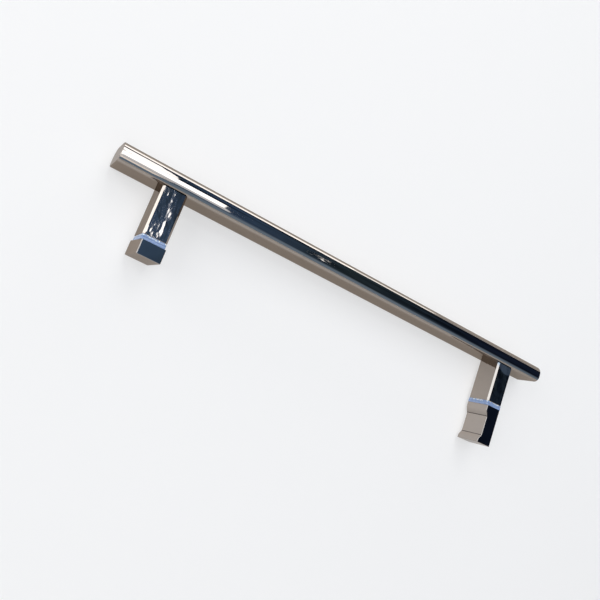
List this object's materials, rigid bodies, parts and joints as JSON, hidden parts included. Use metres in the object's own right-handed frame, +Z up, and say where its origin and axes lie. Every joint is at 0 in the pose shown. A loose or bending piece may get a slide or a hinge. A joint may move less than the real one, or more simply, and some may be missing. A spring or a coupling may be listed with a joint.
{
  "type": "glass door pull handle",
  "caption": "Long polished pull handle on two short posts that clamp a glass door, with gaskets, a short rear cap and a rear knob.",
  "frame": {"origin": "halfway between the two fixings, in the plane where the two gaskets of each post meet and the glass would be clamped", "axes": "+X along the bar towards the rear knob, +Y from the glass to the bar, +Z up with the handle lying on its side as pictured"},
  "size_m": [0.439, 0.092, 0.03],
  "materials": {
    "polished_bar": "mirror polished stainless steel",
    "polished_post": "mirror polished stainless steel with bevelled edges",
    "polished_rear": "mirror polished stainless steel",
    "gasket": "soft translucent pale blue plastic",
    "fastener": "plain steel",
    "grub_screw": "dark oxidised steel"
  },
  "bodies": {
    "root": {"bar_tube": "polished_bar", "bar_end_cap_left": "polished_bar", "bar_end_cap_right": "polished_bar", "post_left": "polished_post", "post_right": "polished_post", "rear_cap": "polished_rear", "rear_knob": "polished_rear", "post_gasket_left": "gasket", "post_gasket_right": "gasket", "cap_gasket_left": "gasket", "knob_gasket_right": "gasket", "bar_nut_block_left": "fastener", "bar_nut_block_right": "fastener", "tie_stud_left": "fastener", "tie_stud_right": "fastener", "post_washer_left": "fastener", "post_washer_right": "fastener", "post_nut_left": "fastener", "post_nut_right": "fastener", "cap_grub_screw": "grub_screw", "knob_grub_screw": "grub_screw"}
  },
  "joints": []
}
